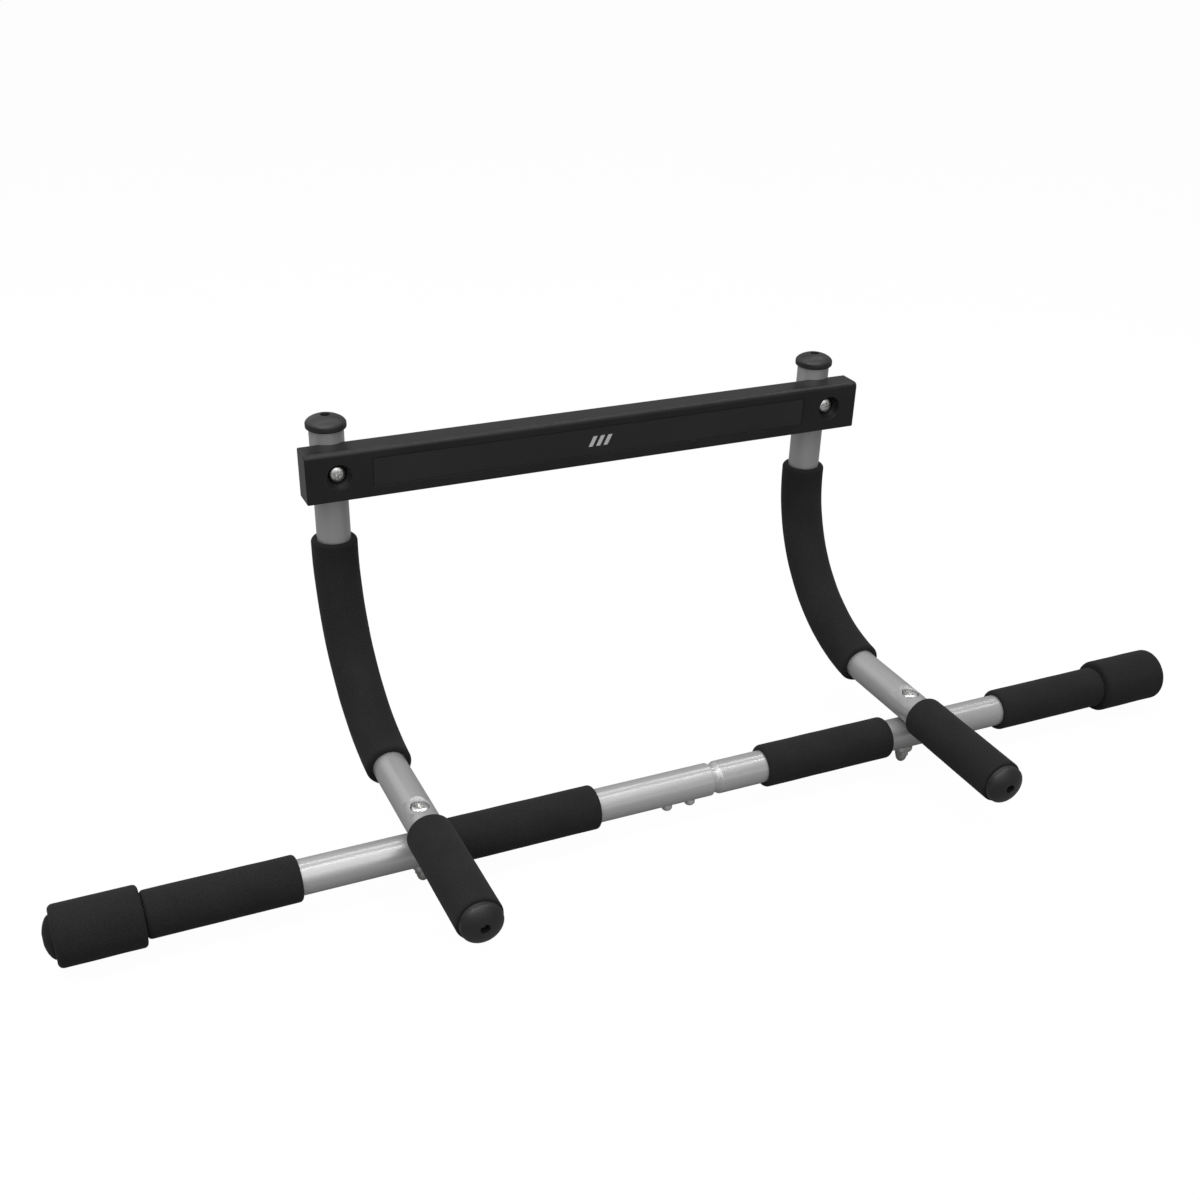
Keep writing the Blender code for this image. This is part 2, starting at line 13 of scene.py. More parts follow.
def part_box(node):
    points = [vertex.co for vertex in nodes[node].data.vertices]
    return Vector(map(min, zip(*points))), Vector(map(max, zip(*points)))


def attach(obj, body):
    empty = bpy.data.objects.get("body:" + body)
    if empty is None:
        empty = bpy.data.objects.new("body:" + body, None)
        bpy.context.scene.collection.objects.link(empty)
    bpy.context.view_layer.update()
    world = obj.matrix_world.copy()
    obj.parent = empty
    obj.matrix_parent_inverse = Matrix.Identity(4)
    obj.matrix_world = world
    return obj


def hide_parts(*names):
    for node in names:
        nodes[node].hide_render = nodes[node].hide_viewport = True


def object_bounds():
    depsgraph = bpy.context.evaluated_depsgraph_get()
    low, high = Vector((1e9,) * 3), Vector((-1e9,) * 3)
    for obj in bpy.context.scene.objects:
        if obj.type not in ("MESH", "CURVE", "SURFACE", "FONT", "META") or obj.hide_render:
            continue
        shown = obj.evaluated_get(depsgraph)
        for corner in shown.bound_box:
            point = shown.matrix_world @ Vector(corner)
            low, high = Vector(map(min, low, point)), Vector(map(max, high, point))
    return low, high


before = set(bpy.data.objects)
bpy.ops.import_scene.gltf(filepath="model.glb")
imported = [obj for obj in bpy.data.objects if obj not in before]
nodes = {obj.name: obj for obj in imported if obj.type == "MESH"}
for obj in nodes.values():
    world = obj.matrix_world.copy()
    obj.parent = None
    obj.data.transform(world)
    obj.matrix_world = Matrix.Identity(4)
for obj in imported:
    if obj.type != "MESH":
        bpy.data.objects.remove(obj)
cad_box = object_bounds()

SIDES = {"left": -1, "right": 1}
BODY = "root"

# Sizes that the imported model's boxes don't give
GAP = 0.0003  # between pieces that touch
TUBE_WALL = 0.0015
BEND_RADIUS = 0.1275
FOAM_BORE_GAP = 0.0004
SPIGOT_RADIUS = 0.0108
SHOULDER = (0.0252, 0.0315)
M6_RADIUS = 0.0030
M6_HOLE = 0.0033
M6_PITCH = 0.0010
M5_RADIUS = 0.0025
M5_HOLE = 0.0028
M5_PITCH = 0.0008
# Each screw's head: its height and the height of its straight side
SIDE_BOLT_HEAD = (0.0036, 0.0020)
CROSSBAR_BOLT_HEAD = (0.0032, 0.0012)
JOINT_SCREW_HEAD = (0.0063, 0.0036)
# The height of each nut's hexagon
ACORN_HEX = 0.0052
LOCK_HEX = 0.0046
CROSSBAR_WALL = 0.0025
COUNTERBORE_MOUTH_RADIUS = 0.0093
COUNTERBORE_FLOOR_RADIUS = 0.0064
COUNTERBORE_DEPTH = 0.0080
COUNTERBORE_LIP = (0.0081, -0.0030)  # a shallow ring round the steep part
DRILL_REACH = 0.02  # past a tube's centre line
BEYOND = 0.005  # how far a cutter sticks out of what it cuts
END_PAD_SEAT_RADIUS = 0.0153  # where the pad's outer end is opened round the cap's rim

SIDES_OF_TUBE = 72
SIDES_OF_FOAM = 96
SIDES_OF_FASTENER = 48
TUBE_STEP = 0.0021  # the longest stretch between rows of vertices
FOAM_STEP = 0.0030
SMOOTH_ANGLE = math.radians(35)
TINY = 0.00001

# The rotation that turns +Z into each direction
TURN_TO = {
    "+X": (0, math.pi / 2, 0),
    "-X": (0, -math.pi / 2, 0),
    "+Y": (-math.pi / 2, 0, 0),
    "-Y": (math.pi / 2, 0, 0),
    "+Z": (0, 0, 0),
    "-Z": (math.pi, 0, 0),
}


def middle(node):
    low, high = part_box(node)
    return (low + high) / 2


def size(node):
    low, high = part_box(node)
    return high - low


def facing(direction):
    """The index of a direction's axis, and its sign."""
    return "XYZ".index(direction[1]), 1 if direction[0] == "+" else -1


# Places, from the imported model
AXIS = middle("long_bar_right_tube")
AXIS.x = 0
TUBE_RADIUS = size("long_bar_right_tube").z / 2
TUBE_INSIDE = TUBE_RADIUS - TUBE_WALL
FOAM_BORE = TUBE_RADIUS + FOAM_BORE_GAP
POST_X = middle("side_tube_right").x
SIDE_LOW, SIDE_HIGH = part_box("side_tube_right")
SIDE_Z = SIDE_LOW.z + TUBE_RADIUS
POST_Y = SIDE_HIGH.y - TUBE_RADIUS
POST_TOP = SIDE_HIGH.z
HANDLE_Y = SIDE_LOW.y
COVER_LOW, COVER_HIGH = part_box("crossbar_cover")
COVER_MIDDLE = (COVER_LOW + COVER_HIGH) / 2


# ---- Outlines ----


def rounded(corners, steps=6):
    """The closed outline through the corners, (x, y, fillet radius) each, with its corners rounded."""
    outline = []
    for index, (x, y, radius) in enumerate(corners):
        here = Vector((x, y))
        if radius == 0:
            outline.append(here)
            continue
        before = (Vector(corners[index - 1][:2]) - here).normalized()
        after = (Vector(corners[(index + 1) % len(corners)][:2]) - here).normalized()
        half = before.angle(after) / 2
        centre = here + (before + after).normalized() * radius / math.sin(half)
        start = here + before * radius / math.tan(half) - centre
        end = here + after * radius / math.tan(half) - centre
        first = math.atan2(start.y, start.x)
        turn = (math.atan2(end.y, end.x) - first + math.pi) % (2 * math.pi) - math.pi
        for step in range(steps + 1):
            angle = first + turn * step / steps
            outline.append(centre + Vector((math.cos(angle), math.sin(angle))) * radius)
    return outline


def arc(centre, radii, start, end, steps):
    """Points on an ellipse from start to end, in degrees."""
    points = []
    for step in range(steps + 1):
        angle = math.radians(start + (end - start) * step / steps)
        points.append(
            Vector((centre[0] + radii[0] * math.cos(angle), centre[1] + radii[1] * math.sin(angle)))
        )
    return points


def fine(outline, step, closed=True):
    """The same outline with points added, so that none of its stretches is longer than a step."""
    outline = [Vector(point) for point in outline]
    following = outline[1:] + outline[:1] if closed else outline[1:]
    points = []
    for here, there in zip(outline, following):
        count = max(1, math.ceil((there - here).length / step))
        points += [here.lerp(there, index / count) for index in range(count)]
    return points if closed else points + outline[-1:]


# ---- Meshes ----


def as_object(name, bm):
    bmesh.ops.recalc_face_normals(bm, faces=bm.faces)
    mesh = bpy.data.meshes.new(name)
    bm.to_mesh(mesh)
    bm.free()
    obj = bpy.data.objects.new(name, mesh)
    bpy.context.scene.collection.objects.link(obj)
    return obj


def skin(bm, rows, closed=False):
    """Faces between successive rows of vertices. A row of one vertex is a pole."""
    following = rows[1:] + rows[:1] if closed else rows[1:]
    for first, second in zip(rows, following):
        count = max(len(first), len(second))
        for index in range(count):
            corners = []
            for row, place in ((first, index), (first, index + 1), (second, index + 1), (second, index)):
                vert = row[place % len(row)]
                if vert not in corners:
                    corners.append(vert)
            bm.faces.new(corners)


def turned(name, outline, place=(0, 0, 0), direction="+Z", sides=SIDES_OF_TUBE, closed=False, swell=None):
    """A solid of revolution about its own +Z, which points in the direction.

    Outline points are (radius, height). swell gives what is added to a radius, at a height and an angle.
    """
    bm = bmesh.new()
    rows = []
    for radius, height in outline:
        if radius == 0:
            rows.append([bm.verts.new((0, 0, height))])
            continue
        row = []
        for index in range(sides):
            angle = 2 * math.pi * index / sides
            reach = radius + (swell(radius, height, angle) if swell else 0)
            row.append(bm.verts.new((reach * math.cos(angle), reach * math.sin(angle), height)))
        rows.append(row)
    skin(bm, rows, closed)
    obj = as_object(name, bm)
    obj.location = place
    obj.rotation_euler = TURN_TO[direction]
    return obj


def rounded_box(name, low, high, edge=0.0, steps=3):
    bm = bmesh.new()
    bmesh.ops.create_cube(bm, size=1.0)
    low, high = Vector(low), Vector(high)
    bmesh.ops.scale(bm, vec=high - low, verts=bm.verts)
    bmesh.ops.translate(bm, vec=(low + high) / 2, verts=bm.verts)
    if edge:
        bmesh.ops.bevel(bm, geom=bm.edges[:], offset=edge, segments=steps, profile=0.5, affect="EDGES")
    return as_object(name, bm)


def combine(obj, others, operation="DIFFERENCE"):
    """Cuts the other objects from this one, or adds them to it, and removes them."""
    for other in others:
        modifier = obj.modifiers.new(other.name, "BOOLEAN")
        modifier.operation = operation
        modifier.solver = "EXACT"
        modifier.object = other
    bpy.context.view_layer.update()
    graph = bpy.context.evaluated_depsgraph_get()
    mesh = bpy.data.meshes.new_from_object(obj.evaluated_get(graph))
    obj.modifiers.clear()
    obj.data = mesh
    mesh.name = obj.name
    for other in others:
        bpy.data.objects.remove(other)
    return obj


def rod(name, radius, start, end, sides=SIDES_OF_FASTENER):
    """A straight cylinder between two points that differ along one axis only. It serves as a drill."""
    reach = Vector(end) - Vector(start)
    letter = "XYZ"[max(range(3), key=lambda i: abs(reach[i]))]
    direction = ("+" if sum(reach) > 0 else "-") + letter
    outline = [(0, reach.length), (radius, reach.length), (radius, 0), (0, 0)]
    return turned(name, outline, start, direction, sides)


def present(obj, material, slot, *replaced, soft=False):
    """Finishes a piece: its shading, material and place on the body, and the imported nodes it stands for."""
    mesh = obj.data
    mesh.shade_smooth()
    if not soft:
        mesh.set_sharp_from_angle(angle=SMOOTH_ANGLE)
        weighted = obj.modifiers.new("even shading", "WEIGHTED_NORMAL")
        weighted.keep_sharp = True
    mesh.materials.clear()
    mesh.materials.append(material)
    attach(obj, BODY)
    if replaced:
        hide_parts(*replaced)
    return obj


# ---- Materials ----


def add_node(tree, kind, inputs=None, **settings):
    """A new node with these settings, whose inputs are linked to sockets or set to values."""
    made = tree.nodes.new(kind)
    for key, value in settings.items():
        setattr(made, key, value)
    for key, value in (inputs or {}).items():
        if isinstance(value, bpy.types.NodeSocket):
            tree.links.new(value, made.inputs[key])
        else:
            made.inputs[key].default_value = value
    return made


def noise_of(tree, where, scale, detail=2.0, roughness=0.5):
    made = add_node(
        tree,
        "ShaderNodeTexNoise",
        {"Vector": where, "Scale": scale, "Detail": detail, "Roughness": roughness},
    )
    return made.outputs["Fac"]


def spread(tree, value, low, high, start=0.3, end=0.7):
    """Maps a texture's usual range onto low to high."""
    made = add_node(
        tree,
        "ShaderNodeMapRange",
        {"Value": value, "From Min": start, "From Max": end, "To Min": low, "To Max": high},
    )
    return made.outputs["Result"]


def mixed(tree, factor, first, second):
    """Turns the first colour into the second as the factor rises. Each is a socket or three numbers."""
    colours = [(*colour, 1.0) if isinstance(colour, tuple) else colour for colour in (first, second)]
    made = add_node(
        tree, "ShaderNodeMix", {0: factor, 6: colours[0], 7: colours[1]}, data_type="RGBA"
    )
    return made.outputs[2]


def calculate(tree, operation, first, second=0.0):
    return add_node(tree, "ShaderNodeMath", {0: first, 1: second}, operation=operation).outputs[0]


def start_material(name, metallic=0.0, specular=0.5, coat=0.0, coat_roughness=0.1, sheen=0.0):
    made = bpy.data.materials.new(name)
    made.use_nodes = True
    tree = made.node_tree
    shader = tree.nodes["Principled BSDF"]
    shader.inputs["Metallic"].default_value = metallic
    shader.inputs["Specular IOR Level"].default_value = specular
    shader.inputs["Coat Weight"].default_value = coat
    shader.inputs["Coat Roughness"].default_value = coat_roughness
    shader.inputs["Sheen Weight"].default_value = sheen
    where = add_node(tree, "ShaderNodeTexCoord").outputs["Object"]
    return made, tree, shader, where


def connect(tree, shader, colour, roughness, height, bump, depth):
    """Links colour, roughness and bump. The depth is the height of the relief in metres."""
    tree.links.new(colour, shader.inputs["Base Color"])
    tree.links.new(roughness, shader.inputs["Roughness"])
    relief = add_node(
        tree, "ShaderNodeBump", {"Strength": bump, "Distance": depth, "Height": height}
    )
    tree.links.new(relief.outputs["Normal"], shader.inputs["Normal"])


def satin_paint(name, colour, roughness, coat):
    """Silver grey stoving paint: fine flakes under a thin clear film with a slight orange peel."""
    made, tree, shader, where = start_material(
        name, metallic=0.45, specular=0.5, coat=coat, coat_roughness=0.20
    )
    flakes = add_node(tree, "ShaderNodeTexVoronoi", {"Vector": where, "Scale": 3200.0})
    flake = spread(tree, flakes.outputs["Distance"], 0.0, 1.0, 0.1, 0.7)
    clouds = noise_of(tree, where, 22.0, 4.0)
    dark = tuple(0.90 * channel for channel in colour)
    light = tuple(1.07 * channel for channel in colour)
    speckled = mixed(tree, flake, light, dark)
    shaded = mixed(tree, spread(tree, clouds, 0.0, 0.18), speckled, dark)
    peel = noise_of(tree, where, 520.0, 2.0)
    rough = spread(tree, clouds, roughness - 0.03, roughness + 0.05)
    connect(tree, shader, shaded, rough, peel, 0.10, 0.0002)
    return made


def closed_cell_foam(name):
    """Matte black foam: tiny cells, a few open ones painted darker as painted shade in their hollows, and
    slow changes of tone along the sleeve.
    """
    made, tree, shader, where = start_material(name, specular=0.10, sheen=0.03)
    grain = noise_of(tree, where, 1500.0, 4.0, 0.65)
    cells = add_node(tree, "ShaderNodeTexVoronoi", {"Vector": where, "Scale": 950.0})
    # the open cells are sunk by the bump and also painted darker: painted shade in the pits
    pits_and_shade = spread(tree, cells.outputs["Distance"], 0.0, 1.0, 0.05, 0.45)
    clouds = noise_of(tree, where, 45.0, 3.0)
    tone = calculate(tree, "MULTIPLY", spread(tree, grain, 0.55, 1.0, 0.25, 0.75), pits_and_shade)
    tone = calculate(tree, "MULTIPLY", tone, spread(tree, clouds, 0.75, 1.0))
    colour = mixed(tree, tone, (0.0065, 0.0065, 0.0067), (0.0195, 0.0195, 0.0201))
    height = calculate(tree, "ADD", grain, calculate(tree, "MULTIPLY", pits_and_shade, 0.5))
    connect(tree, shader, colour, spread(tree, grain, 0.88, 1.0), height, 0.40, 0.0003)
    return made


def moulded_plastic(name, colour, roughness, grain_scale=1800.0, specular=0.4):
    """Black moulded plastic with a spark-eroded grain and faint flow marks."""
    made, tree, shader, where = start_material(name, specular=specular)
    grain = noise_of(tree, where, grain_scale, 3.0, 0.6)
    flow = noise_of(tree, where, 30.0, 3.0)
    light = tuple(1.35 * channel for channel in colour)
    shaded = mixed(tree, spread(tree, flow, 0.0, 1.0), colour, light)
    rough = calculate(
        tree,
        "ADD",
        spread(tree, grain, roughness - 0.04, roughness + 0.04),
        spread(tree, flow, -0.03, 0.03),
    )
    connect(tree, shader, shaded, rough, grain, 0.12, 0.0001)
    return made


def zinc_plate(name):
    """Bright zinc plating with a slight bloom and fine drawing marks."""
    made, tree, shader, where = start_material(name, metallic=1.0)
    bloom = noise_of(tree, where, 260.0, 4.0)
    marks = noise_of(tree, where, 2600.0, 2.0)
    colour = mixed(tree, spread(tree, bloom, 0.0, 1.0), (0.60, 0.60, 0.59), (0.84, 0.84, 0.82))
    connect(tree, shader, colour, spread(tree, bloom, 0.20, 0.34), marks, 0.10, 0.0001)
    return made


def printed_panel(name):
    """Matte black film with a plain mark of three slanted bars printed in its middle."""
    made, tree, shader, where = start_material(name, specular=0.35)
    grain = noise_of(tree, where, 1400.0, 3.0, 0.6)
    flow = noise_of(tree, where, 18.0, 2.0)
    black = mixed(
        tree, spread(tree, flow, 0.0, 1.0), (0.0075, 0.0075, 0.0078), (0.0105, 0.0105, 0.0109)
    )
    place = add_node(tree, "ShaderNodeSeparateXYZ", {"Vector": where})
    above = calculate(tree, "SUBTRACT", place.outputs["Z"], COVER_MIDDLE.z)
    along = calculate(tree, "SUBTRACT", place.outputs["X"], calculate(tree, "MULTIPLY", above, 0.5))
    inside = calculate(tree, "LESS_THAN", calculate(tree, "ABSOLUTE", above), 0.0040)
    bars = 0.0
    for index in (-1, 0, 1):
        offset = calculate(tree, "ABSOLUTE", calculate(tree, "SUBTRACT", along, index * 0.0062))
        bars = calculate(tree, "ADD", calculate(tree, "LESS_THAN", offset, 0.0017), bars)
    mark = calculate(tree, "MULTIPLY", inside, bars)
    colour = mixed(tree, mark, black, (0.42, 0.42, 0.42))
    connect(tree, shader, colour, spread(tree, grain, 0.46, 0.56), grain, 0.08, 0.0001)
    return made


BAR_PAINT = satin_paint("silver_paint", (0.40, 0.40, 0.405), 0.32, 0.30)
POST_PAINT = satin_paint("grey_paint", (0.35, 0.35, 0.355), 0.37, 0.36)
FOAM = closed_cell_foam("black_foam")
CAP = moulded_plastic("cap_plastic", (0.010, 0.010, 0.0104), 0.42)
# the same plastic as the other caps, rougher and duller, with a darker colour as painted shade on the long
# bar's end caps
BAR_CAP_PAINTED_SHADE = moulded_plastic("bar_cap_plastic_painted_shade", (0.008, 0.008, 0.0083), 0.60, specular=0.14)
COVER = moulded_plastic("crossbar_plastic", (0.0082, 0.0082, 0.0085), 0.33, 1500.0, 0.27)
PANEL = printed_panel("panel_film")
ZINC = zinc_plate("bright_zinc")


# ---- Foam ----


FOAM_CORNER = 0.0029
FOAM_CORNERS = {"handle_grip": (0.0016, 0.0032), "end_pad": (0.0038, 0.0030)}  # at the outer and inner end


def foam_outline(radius, start, end, corners, seat=0.0):
    """The section of a foam tube. The corners are the fillets at its end and its start.

    A seat is how far from the end its bore is opened round a cap's rim.
    """
    last, first = corners
    mouth = 0.0004
    outline = [(radius, end, last), (radius, start, first), (FOAM_BORE, start, mouth)]
    if seat:
        outline += [(FOAM_BORE, end - seat, mouth), (END_PAD_SEAT_RADIUS, end - seat, mouth)]
        outline.append((END_PAD_SEAT_RADIUS, end, 0.0007))
    else:
        outline.append((FOAM_BORE, end, mouth))
    return fine(rounded(outline, 8), FOAM_STEP)


def foam_swell(radius, height, angle, seed=0.0):
    """Foam is never quite true: its outside wanders by about a tenth of a millimetre."""
    if radius < FOAM_BORE + 0.001:
        return 0.0
    place = Vector((math.cos(angle) * 1.3, math.sin(angle) * 1.3, height * 45 + seed))
    return 0.00016 * noise.noise(place) - 0.00010


def straight_foam(kind, side, direction, seed):
    """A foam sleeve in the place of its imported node. The direction is that of its outer end."""
    name = f"{kind}_{side}"
    axis, sign = facing(direction)
    low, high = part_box(name)
    reach = high - low
    radius = reach[axis - 1] / 2
    place = (low + high) / 2
    length = reach[axis]
    seat = 0.0
    if kind == "end_pad":
        tube_low, tube_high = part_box(f"long_bar_{side}_tube")
        seat = high.x - tube_high.x if sign > 0 else tube_low.x - low.x
    corners = FOAM_CORNERS.get(kind, (FOAM_CORNER, FOAM_CORNER))
    outline = foam_outline(radius, -length / 2, length / 2, corners, seat)

    def swell(radius, height, angle):
        return foam_swell(radius, height, angle, seed)

    sleeve = turned(f"{name}_foam", outline, place, direction, SIDES_OF_FOAM, closed=True, swell=swell)
    present(sleeve, FOAM, "foam", name, soft=True)


def all_straight_foam():
    seed = 0.0
    for side, sign in SIDES.items():
        outwards = "+X" if sign > 0 else "-X"
        for kind in ("end_pad", "outer_sleeve", "inner_grip"):
            seed += 17.0
            straight_foam(kind, side, outwards, seed)
        seed += 17.0
        straight_foam("handle_grip", side, "-Y", seed)


# ---- Side tubes ----

POST_LENGTH = POST_TOP - SIDE_Z - BEND_RADIUS
BEND_LENGTH = BEND_RADIUS * math.pi / 2
LEVEL_START = POST_LENGTH + BEND_LENGTH
TUBE_LENGTH = LEVEL_START + (POST_Y - BEND_RADIUS - HANDLE_Y)
DISH_AT = LEVEL_START + (POST_Y - BEND_RADIUS - AXIS.y)


def along_side_tube(distance):
    """The centre at a distance from the tube's top, and the direction out of the bend, where X = 0."""
    if distance < POST_LENGTH:
        return Vector((0, POST_Y, POST_TOP - distance)), Vector((0, 1, 0))
    if distance < LEVEL_START:
        angle = (distance - POST_LENGTH) / BEND_RADIUS
        out = Vector((0, math.cos(angle), -math.sin(angle)))
        return Vector((0, POST_Y - BEND_RADIUS, SIDE_Z + BEND_RADIUS)) + out * BEND_RADIUS, out
    return Vector((0, POST_Y - BEND_RADIUS - (distance - LEVEL_START), SIDE_Z)), Vector((0, 0, -1))


def swept(outline, x, sides=SIDES_OF_TUBE, swell=None):
    """Rows of vertices round a side tube's centre line, for a closed outline of (radius, distance)."""
    bm = bmesh.new()
    rows = []
    for radius, distance in outline:
        centre, out = along_side_tube(distance)
        row = []
        for index in range(sides):
            angle = 2 * math.pi * index / sides
            reach = radius + (swell(radius, distance, angle) if swell else 0)
            offset = (out * math.cos(angle) + Vector((1, 0, 0)) * math.sin(angle)) * reach
            row.append(bm.verts.new(centre + offset + Vector((x, 0, 0))))
        rows.append(row)
    skin(bm, rows, closed=True)
    return bm


DISH_HALF_LENGTH = 0.0105
DISH_HALF_ANGLE = math.radians(61)
DISH_RADIUS = 0.0067
DISH_LIP = 0.0011
DISH_LIP_INSIDE = 0.0005
DIMPLE_RADII = (0.0102, 0.0097, 0.0092, 0.0088, 0.0084)
DIMPLE_DROP = 0.0014  # how far the dish's rim is pressed below the tube's top
DIMPLE_SPAN = (0.0080, 0.0097)  # the radii between which the tube's top goes down to it
DISH_FLOOR = SIDE_Z - 2 * TUBE_RADIUS - AXIS.z + 0.0070  # above the side tube's centre line


def dish_rows(outside):
    """Rows down one face of the pressed dish.

    Each is (radius, drop below the tube's surface, share of the way to the floor's height).
    """
    wall = DISH_RADIUS if outside else DISH_RADIUS + TUBE_WALL
    lip = DISH_LIP if outside else DISH_LIP_INSIDE
    rows = [(radius, 0.0, 0.0) for radius in DIMPLE_RADII if radius > wall + lip]
    rows.append((wall + lip, 0.0, 0.0))
    for step in range(1, 7):
        turn = math.radians(84 * step / 6)
        rows.append((wall + lip - lip * math.sin(turn), lip * (1 - math.cos(turn)), 0.0))
    for share in (0.3, 0.6, 0.9):
        rows.append((wall - 0.0003 * share, lip, share))
    rows += [(wall - 0.0007, lip, 0.99), (wall - 0.0013, 0, 1.0)]
    return rows + [(M6_HOLE + 0.0006, 0, 1.0), (M6_HOLE, 0, 1.0)]


def dimpled(surface, x, radius):
    """The height of the tube's pressed surface, at x and at a radius from the bolt's axis."""
    start, end = DIMPLE_SPAN
    share = min(1.0, max(0.0, (end - radius) / (end - start)))
    height = math.sqrt(surface**2 - x**2)
    pressed = min(height, surface - DIMPLE_DROP)
    return height + (pressed - height) * share * share * (3 - 2 * share)


def press_dish(bm, x):
    """Replaces the top of the tube, over the long bar, by the pressed dish that the bolt's head sits in."""
    centre = Vector((x, AXIS.y, SIDE_Z))

    def on_top(vert):
        place = vert.co - centre
        angle = math.atan2(abs(place.x), place.z)
        return abs(place.y) < DISH_HALF_LENGTH + TINY and angle < DISH_HALF_ANGLE

    doomed = [face for face in bm.faces if all(on_top(vert) for vert in face.verts)]
    bmesh.ops.delete(bm, geom=doomed, context="FACES")
    rims = {True: [], False: []}
    for vert in {vert for edge in bm.edges if len(edge.link_faces) == 1 for vert in edge.verts}:
        place = vert.co - centre
        rims[math.hypot(place.x, place.z) > TUBE_RADIUS - TUBE_WALL / 2].append(vert)
    for rim in rims.values():
        rim.sort(key=lambda vert: math.atan2(vert.co.y - centre.y, vert.co.x - centre.x))
    directions = [(vert.co - centre).xy.normalized() for vert in rims[True]]
    last = {}
    for outside, rim in rims.items():
        surface = TUBE_RADIUS if outside else TUBE_INSIDE
        floor = DISH_FLOOR if outside else DISH_FLOOR - TUBE_WALL
        rows = [rim]
        for radius, drop, share in dish_rows(outside):
            row = []
            for direction in directions:
                place = direction * radius
                height = dimpled(surface, place.x, radius) - drop
                height += (floor - height) * share
                row.append(bm.verts.new(centre + Vector((place.x, place.y, height))))
            rows.append(row)
        skin(bm, rows)
        last[outside] = rows[-1]
    skin(bm, [last[True], last[False]])


def side_tubes():
    edge = 0.0004
    for side, sign in SIDES.items():
        x = sign * POST_X
        outline = rounded(
            [
                (TUBE_RADIUS, TUBE_LENGTH, edge),
                (TUBE_RADIUS, 0, edge),
                (TUBE_INSIDE, 0, edge),
                (TUBE_INSIDE, TUBE_LENGTH, edge),
            ],
            3,
        )
        # rows of vertices exactly where the dish begins and ends
        near, far = DISH_AT - DISH_HALF_LENGTH, DISH_AT + DISH_HALF_LENGTH
        outline[4:4] = [Vector((TUBE_RADIUS, far)), Vector((TUBE_RADIUS, near))]
        outline[-4:-4] = [Vector((TUBE_INSIDE, near)), Vector((TUBE_INSIDE, far))]
        bm = swept(fine(outline, TUBE_STEP), x)
        press_dish(bm, x)
        tube = as_object(f"side_tube_{side}_painted", bm)
        z = middle(f"crossbar_bolt_{side}").z
        combine(
            tube,
            [
                rod("post_drill", M6_HOLE, (x, POST_Y - DRILL_REACH, z), (x, POST_Y + DRILL_REACH, z)),
                rod("level_drill", M6_HOLE, (x, AXIS.y, SIDE_Z - DRILL_REACH), (x, AXIS.y, SIDE_Z)),
            ],
        )
        present(tube, POST_PAINT, "post_steel", f"side_tube_{side}")


def bend_pads():
    for side, sign in SIDES.items():
        low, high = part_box(f"bend_pad_{side}")
        radius = (high.x - low.x) / 2
        start = POST_TOP - high.z
        end = LEVEL_START - BEND_RADIUS * math.radians(5)

        def swell(radius, height, angle, seed=60.0 * sign):
            return foam_swell(radius, height, angle, seed)

        outline = foam_outline(radius, start, end, (FOAM_CORNER, FOAM_CORNER))
        bm = swept(fine(outline, FOAM_STEP), sign * POST_X, SIDES_OF_FOAM, swell)
        pad = as_object(f"bend_pad_{side}_foam", bm)
        present(pad, FOAM, "foam", f"bend_pad_{side}", soft=True)


# ---- Long bar ----


def long_bar():
    start, end = (corner.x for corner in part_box("long_bar_left_tube"))
    spigot_end, bar_end = (corner.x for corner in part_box("long_bar_right_tube"))
    spigot_inside = SPIGOT_RADIUS - TUBE_WALL
    edge = 0.0003
    left = rounded(
        [
            (TUBE_RADIUS, end, 0.0005),
            (TUBE_RADIUS, start, edge),
            (TUBE_INSIDE, start, edge),
            (TUBE_INSIDE, end, edge),
        ]
    )
    right = rounded(
        [
            (TUBE_RADIUS, bar_end, edge),
            (TUBE_RADIUS, SHOULDER[1] - 0.0005, 0.0030),
            (SPIGOT_RADIUS, SHOULDER[0] + 0.0027, 0.0010),
            (SPIGOT_RADIUS, SHOULDER[0], 0.0),
            (SPIGOT_RADIUS, spigot_end, 0.0004),
            (spigot_inside, spigot_end, edge),
            (spigot_inside, SHOULDER[0], 0.0020),
            (TUBE_INSIDE, SHOULDER[1], 0.0010),
            (TUBE_INSIDE, bar_end, edge),
        ]
    )
    for side, outline in (("left", left), ("right", right)):
        x = SIDES[side] * POST_X
        tube = turned(f"long_bar_{side}_painted", fine(outline, 0.0080), AXIS, "+X", closed=True)
        under, over = AXIS.z - DRILL_REACH, AXIS.z + DRILL_REACH
        drills = [rod("bolt_drill", M6_HOLE, (x, AXIS.y, under), (x, AXIS.y, over))]
        for place in ("inner", "outer"):
            x = middle(f"joint_screw_{place}").x
            drills.append(rod("screw_drill", M5_HOLE, (x, AXIS.y, under), (x, AXIS.y, AXIS.z - 0.004)))
        combine(tube, drills)
        present(tube, BAR_PAINT, "bar_steel", f"long_bar_{side}_tube")


# ---- End caps ----


DOME_FULLNESS = 1.72  # 2 is an ellipse and 1 is a cone


